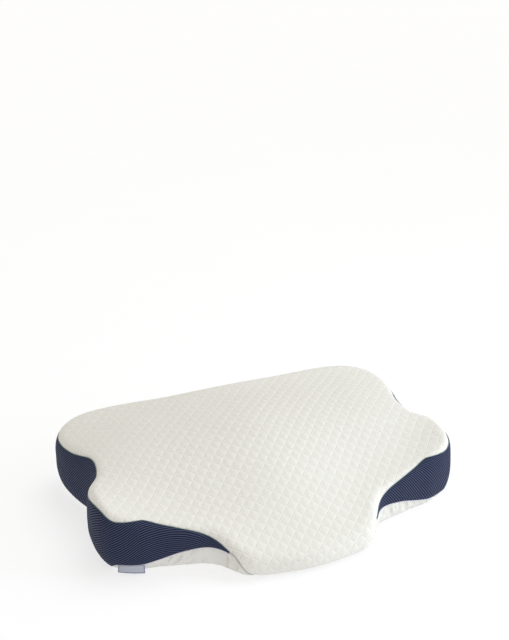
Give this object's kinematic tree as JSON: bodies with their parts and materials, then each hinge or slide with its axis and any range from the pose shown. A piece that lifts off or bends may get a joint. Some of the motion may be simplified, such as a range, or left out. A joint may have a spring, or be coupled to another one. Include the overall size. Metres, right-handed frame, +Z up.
{
  "type": "cervical pillow",
  "caption": "Contoured cervical pillow with a butterfly outline, a low front tongue, raised wings, knit top and base panels and air-mesh side gussets.",
  "frame": {"origin": "on the surface it rests on, under the middle of the pillow's box", "axes": "+X along the wings, -Y towards the low front tongue, +Z up"},
  "size_m": [0.5998, 0.437, 0.1267],
  "materials": {
    "knit_top": "quilted knit, soft and matt",
    "knit_base": "quilted knit, soft and matt",
    "air_mesh": "ribbed spacer mesh, slight sheen",
    "label_tape": "woven tape, blank"
  },
  "bodies": {
    "root": {"pillow": "knit_top", "bottom_panel": "knit_base", "side_gusset_right": "air_mesh", "side_gusset_left": "air_mesh", "label": "label_tape"}
  },
  "joints": []
}
